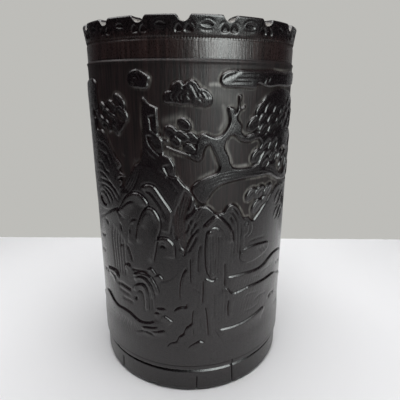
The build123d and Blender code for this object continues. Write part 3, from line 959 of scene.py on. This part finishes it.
class Graph:
    """A short way to build a material's nodes."""

    def __init__(self, name):
        self.material = bpy.data.materials.new(name)
        self.material.use_nodes = True
        self.tree = self.material.node_tree
        self.tree.nodes.clear()
        self.surface = self.add("ShaderNodeBsdfPrincipled")
        output = self.add("ShaderNodeOutputMaterial")
        self.link(self.surface.outputs["BSDF"], output.inputs["Surface"])

    def add(self, kind, **values):
        node = self.tree.nodes.new(kind)
        for key, value in values.items():
            if hasattr(node, key):
                setattr(node, key, value)
            else:
                node.inputs[key.replace("_", " ")].default_value = value
        return node

    def link(self, output, target):
        self.tree.links.new(output, target)
        return target

    def place(self, scale):
        """Object coordinates, stretched by three factors."""
        coordinates = self.add("ShaderNodeTexCoord")
        mapping = self.add("ShaderNodeMapping")
        mapping.inputs["Scale"].default_value = scale
        self.link(coordinates.outputs["Object"], mapping.inputs["Vector"])
        return mapping.outputs["Vector"]

    def noise(self, scale, stretch=(1, 1, 1), detail=4.0, roughness=0.55):
        node = self.add("ShaderNodeTexNoise", Scale=scale, Detail=detail, Roughness=roughness)
        self.link(self.place(stretch), node.inputs["Vector"])
        return node.outputs["Fac"]

    def remap(self, value, low, high, new_low, new_high):
        node = self.add("ShaderNodeMapRange")
        for key, number in (("From Min", low), ("From Max", high), ("To Min", new_low),
                ("To Max", new_high)):
            node.inputs[key].default_value = number
        self.link(value, node.inputs["Value"])
        return node.outputs["Result"]

    def maths(self, kind, a, b):
        node = self.add("ShaderNodeMath", operation=kind)
        for socket, value in zip(node.inputs, (a, b)):
            if isinstance(value, (int, float)):
                socket.default_value = value
            else:
                self.link(value, socket)
        return node.outputs["Value"]

    def mix(self, share, a, b):
        """A colour between a and b, which go into the node's two colour sockets, 6 and 7."""
        node = self.add("ShaderNodeMix", data_type="RGBA")
        for socket, value in ((node.inputs["Factor"], share), (node.inputs[6], a), (node.inputs[7], b)):
            if isinstance(value, (int, float)):
                socket.default_value = value
            elif isinstance(value, tuple):
                socket.default_value = (*value, 1)
            else:
                self.link(value, socket)
        return node.outputs[2]

    def away(self, centre):
        """Distance from a place."""
        node = self.add("ShaderNodeVectorMath", operation="DISTANCE")
        self.link(self.add("ShaderNodeNewGeometry").outputs["Position"], node.inputs[0])
        node.inputs[1].default_value = centre
        return node.outputs["Value"]

    def bump(self, height, distance, strength, normal=None):
        node = self.add("ShaderNodeBump", Distance=distance, Strength=strength)
        self.link(height, node.inputs["Height"])
        if normal is not None:
            self.link(normal, node.inputs["Normal"])
        return node.outputs["Normal"]


def bamboo_material():
    """Near-black waxed bamboo with a red-brown fibrous ground, worn edges, smooth cuts, pale dust that is
    partly a painted highlight, and creases whose lowered shine is partly painted shade.
    """
    g = Graph("dark_bamboo")
    sunk = g.add("ShaderNodeAttribute", attribute_name="sunk").outputs["Fac"]
    worn = g.add("ShaderNodeAttribute", attribute_name="worn").outputs["Fac"]
    fibre = g.noise(2300, (1, 1, 0.07), detail=3)
    pore = g.noise(3000, (1, 1, 0.5), detail=3)
    streak = g.noise(1100, (1, 1, 0.05), detail=4)
    blotch = g.noise(28, (1, 1, 0.6), detail=3)
    polish = g.mix(g.remap(blotch, 0.35, 0.7, 0, 1), *POLISHED)
    ground = g.mix(g.remap(streak, 0.38, 0.66, 0, 1), *GROUND)
    colour = g.mix(g.remap(sunk, 0.45, 0.95, 0.12, 1.0), polish, ground)
    position = g.add("ShaderNodeSeparateXYZ")
    g.link(g.place((1, 1, 1)), position.inputs[0])
    neck = g.maths("MULTIPLY", g.remap(position.outputs["Z"], 0.1378, 0.1382, 0, 0.8),
        g.remap(position.outputs["Z"], 0.1440, 0.1470, 1, 0.1))
    bare = g.mix(g.remap(streak, 0.38, 0.66, 0, 1), *BARE)
    colour = g.mix(neck, colour, bare)
    edge = g.maths("MULTIPLY", g.remap(worn, 0.10, 0.4, 0, 0.6), g.remap(blotch, 0.3, 0.6, 0.3, 1))
    colour = g.mix(edge, colour, WORN_EDGE)
    # Pale dust at the feet of the cut walls, weaker on the pot's left: partly dust, partly a painted
    # highlight where the window's light glints
    corner_dust_and_highlight = g.maths("MULTIPLY", g.remap(worn, -0.02, -0.09, 0, 1), g.remap(sunk, 0.8, 0.97, 0, 1))
    corner_dust_and_highlight = g.maths("MULTIPLY", corner_dust_and_highlight, g.remap(worn, -0.32, -0.18, 0, 1))
    corner_dust_and_highlight = g.maths("MULTIPLY", corner_dust_and_highlight, g.remap(position.outputs["X"], -0.018, -0.008, 0.3, 1))
    threads = g.remap(fibre, 0.35, 0.6, 0.2, 1)
    patchy = g.maths("MULTIPLY", g.remap(g.noise(75, detail=3), 0.45, 0.6, 0.1, 1), threads)
    colour = g.mix(g.maths("MULTIPLY", corner_dust_and_highlight, patchy), colour, CORNER_DUST_AND_HIGHLIGHT)
    # Pale strokes along the cut edges: partly dust, partly a painted highlight where the window's light
    # glints
    dust_and_highlight = g.add("ShaderNodeAttribute", attribute_name="dust_and_highlight").outputs["Fac"]
    dust_and_highlight = g.maths("MULTIPLY", dust_and_highlight, g.remap(threads, 0, 1, 0.3, 1))
    dust_and_highlight = g.maths("MULTIPLY", dust_and_highlight, g.remap(sunk, 0.75, 0.95, 0, 1))
    colour = g.mix(dust_and_highlight, colour, PALE_DUST_AND_HIGHLIGHT)
    g.link(colour, g.surface.inputs["Base Color"])
    # Shine is lowered in the creases: painted shade for the light the creases shut out, partly dirt in them
    crease_shade = g.remap(worn, -0.20, -0.06, 0.2, 1)
    shine = g.maths("MULTIPLY", g.remap(sunk, 0.76, 1, 0.5, 0.27), crease_shade)
    g.link(shine, g.surface.inputs["Specular IOR Level"])
    knifed = g.remap(worn, -0.3, -0.06, 1, 0)
    gloss = g.remap(pore, 0.3, 0.7, 0.20, 0.31)
    gloss = g.maths("ADD", gloss, g.remap(sunk, 0.76, 1, 0, 0.22))
    gloss = g.maths("SUBTRACT", gloss, g.remap(knifed, 0, 1, 0, 0.1))
    gloss = g.maths("ADD", gloss, g.remap(neck, 0, 1, 0, 0.05))
    g.link(gloss, g.surface.inputs["Roughness"])
    g.surface.inputs["IOR"].default_value = 1.46
    lines = g.bump(fibre, 0.00012, 0.6)
    g.link(g.remap(sunk, 0.3, 0.9, 0.25, 0.65), lines.node.inputs["Strength"])
    pores = g.bump(pore, 0.00006, 0.5, lines)
    g.link(g.bump(streak, 0.00008, 0.4, pores), g.surface.inputs["Normal"])
    return g.material


def floor_wood_material():
    """Dark oiled hardwood with straight grain across the disc."""
    g = Graph("floor_wood")
    grain = g.noise(420, (1, 0.05, 1), detail=5)
    colour = g.mix(g.remap(grain, 0.35, 0.68, 0, 1), *FLOOR_WOOD)
    g.link(colour, g.surface.inputs["Base Color"])
    g.link(g.remap(grain, 0.3, 0.7, 0.42, 0.6), g.surface.inputs["Roughness"])
    g.link(g.bump(grain, 0.0002, 0.5), g.surface.inputs["Normal"])
    return g.material


def lacquer_material():
    """Hardened black lacquer with a slightly wrinkled skin."""
    g = Graph("lacquer")
    skin = g.noise(600, detail=3)
    g.link(g.mix(skin, *LACQUER), g.surface.inputs["Base Color"])
    g.link(g.remap(skin, 0.3, 0.7, 0.16, 0.3), g.surface.inputs["Roughness"])
    g.link(g.bump(skin, 0.0002, 0.6), g.surface.inputs["Normal"])
    return g.material


def stage_material(name, colour, reflected, centre, near, far, clear_at):
    """A plain matt surface.

    In the pot's reflections it is a pool of light that dims from near to far, in metres from its centre, and
    is shaded close to the pot. The camera sees it fade into the pale room between the two distances of
    clear_at from the pot's axis.
    """
    g = Graph(name)
    g.surface.inputs["Roughness"].default_value = 0.7
    g.surface.inputs["Specular IOR Level"].default_value = 0.2
    pool = g.remap(g.away(centre), near, far, reflected, 0.04)
    lit = g.maths("MULTIPLY", pool, g.remap(g.away(SHADE_MIDDLE), *SHADE, 0.5, 1))
    grey = g.mix(lit, (0.0, 0.0, 0.0), (1.0, 1.0, 1.0))
    seen = g.add("ShaderNodeLightPath").outputs["Is Camera Ray"]
    g.link(g.mix(seen, grey, colour), g.surface.inputs["Base Color"])
    share = g.maths("MULTIPLY", seen, g.remap(g.away((0, 0, 0)), *clear_at, 0, 1))
    room = g.add("ShaderNodeEmission")
    room.inputs["Color"].default_value = ROOM_COLOUR
    fade = g.add("ShaderNodeMixShader")
    g.link(share, fade.inputs[0])
    g.link(g.surface.outputs["BSDF"], fade.inputs[1])
    g.link(room.outputs["Emission"], fade.inputs[2])
    output = next(n for n in g.tree.nodes if n.type == "OUTPUT_MATERIAL")
    g.link(fade.outputs["Shader"], output.inputs["Surface"])
    return g, fade, output


# ---------------------------------------------------------------- pieces, stage, light and camera


def build_pieces():
    """The carved wall and the materials of the nodes that stay as they are."""
    wall = culm_mesh()
    bpy.context.scene.collection.objects.link(wall)
    wall.data.materials.append(bamboo_material())
    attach(wall, "root")
    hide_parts("culm_wall")
    for node, material in (("floor_disc", floor_wood_material()), ("lacquer_bead", lacquer_material())):
        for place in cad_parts[node].material_slots:
            place.link = "OBJECT"
            place.material = material


def sheet(name, corners, material):
    """A flat stage surface."""
    mesh = bpy.data.meshes.new(name)
    mesh.from_pydata(corners, [], [(0, 1, 2, 3)])
    mesh.materials.append(material)
    made = bpy.data.objects.new(name, mesh)
    bpy.context.scene.collection.objects.link(made)
    return made


def build_stage():
    """A pale floor, and a pale backdrop that can't be seen from behind."""
    floor, _, _ = stage_material("pale_floor", PALE_FLOOR, 0.97, FLOOR_POOL, 0.13, 0.46, (0.24, 0.6))
    size = FLOOR_SIZE
    sheet("floor", [(-size, -size, 0), (size, -size, 0), (size, size, 0), (-size, size, 0)], floor.material)
    foot = (0, BACKDROP, 0)
    wall, plain, output = stage_material("pale_backdrop", PALE_BACKDROP, 0.86, foot, 0.02, 0.3, (0, 0.01))
    back = wall.add("ShaderNodeNewGeometry").outputs["Backfacing"]
    clear = wall.add("ShaderNodeBsdfTransparent")
    choose = wall.add("ShaderNodeMixShader")
    wall.link(back, choose.inputs[0])
    wall.link(plain.outputs["Shader"], choose.inputs[1])
    wall.link(clear.outputs["BSDF"], choose.inputs[2])
    wall.link(choose.outputs["Shader"], output.inputs["Surface"])
    x, y, z = BACKDROP_WIDTH / 2, BACKDROP, BACKDROP_HEIGHT
    sheet("backdrop", [(-x, y, 0), (x, y, 0), (x, y, z), (-x, y, z)], wall.material)


def area_light(name, place, aim, size, power, colour):
    """A rectangular light that points at a place."""
    data = bpy.data.lights.new(name, "AREA")
    data.shape = "RECTANGLE"
    data.size, data.size_y = size
    data.energy = power
    data.color = colour
    lamp = bpy.data.objects.new(name, data)
    bpy.context.scene.collection.objects.link(lamp)
    lamp.location = place
    lamp.rotation_euler = (Vector(place) - Vector(aim)).to_track_quat("Z", "Y").to_euler()
    return lamp


def build_light():
    """A soft top light, a window at the right front and two glows, in a room that is dim in reflections."""
    area_light("top_light", (0.02, -0.07, 0.85), (0, 0, 0), (0.6, 0.6), TOP_LIGHT_POWER, (1, 1, 1))
    for name, place, size, power, colour in SIDE_LIGHTS:
        area_light(name, place, POT_MIDDLE, size, power, colour).visible_diffuse = False
    world = bpy.data.worlds.new("room")
    bpy.context.scene.world = world
    world.use_nodes = True
    tree = world.node_tree
    tree.nodes.clear()
    output = tree.nodes.new("ShaderNodeOutputWorld")
    pale = tree.nodes.new("ShaderNodeBackground")
    pale.inputs["Color"].default_value = ROOM_COLOUR
    dim = tree.nodes.new("ShaderNodeBackground")
    dim.inputs["Color"].default_value = DIM_ROOM
    seen = tree.nodes.new("ShaderNodeLightPath")
    choose = tree.nodes.new("ShaderNodeMixShader")
    tree.links.new(seen.outputs["Is Camera Ray"], choose.inputs[0])
    tree.links.new(dim.outputs["Background"], choose.inputs[1])
    tree.links.new(pale.outputs["Background"], choose.inputs[2])
    tree.links.new(choose.outputs["Shader"], output.inputs["Surface"])


def build_camera():
    """The viewer stands in front of the pot, a little above its middle, looking slightly down."""
    data = bpy.data.cameras.new("camera")
    data.sensor_width = 36
    data.lens = CAMERA_LENS
    data.shift_x = CAMERA_SHIFT
    data.clip_start = 0.01
    camera = bpy.data.objects.new("camera", data)
    bpy.context.scene.collection.objects.link(camera)
    turn = Matrix.Rotation(pi / 2 - CAMERA_PITCH, 4, "X") @ Matrix.Rotation(CAMERA_ROLL, 4, "Z")
    camera.matrix_world = Matrix.Translation(CAMERA_PLACE) @ turn
    bpy.context.scene.camera = camera


build_pieces()
build_stage()
build_light()
build_camera()
bpy.context.scene.view_settings.view_transform = "Standard"
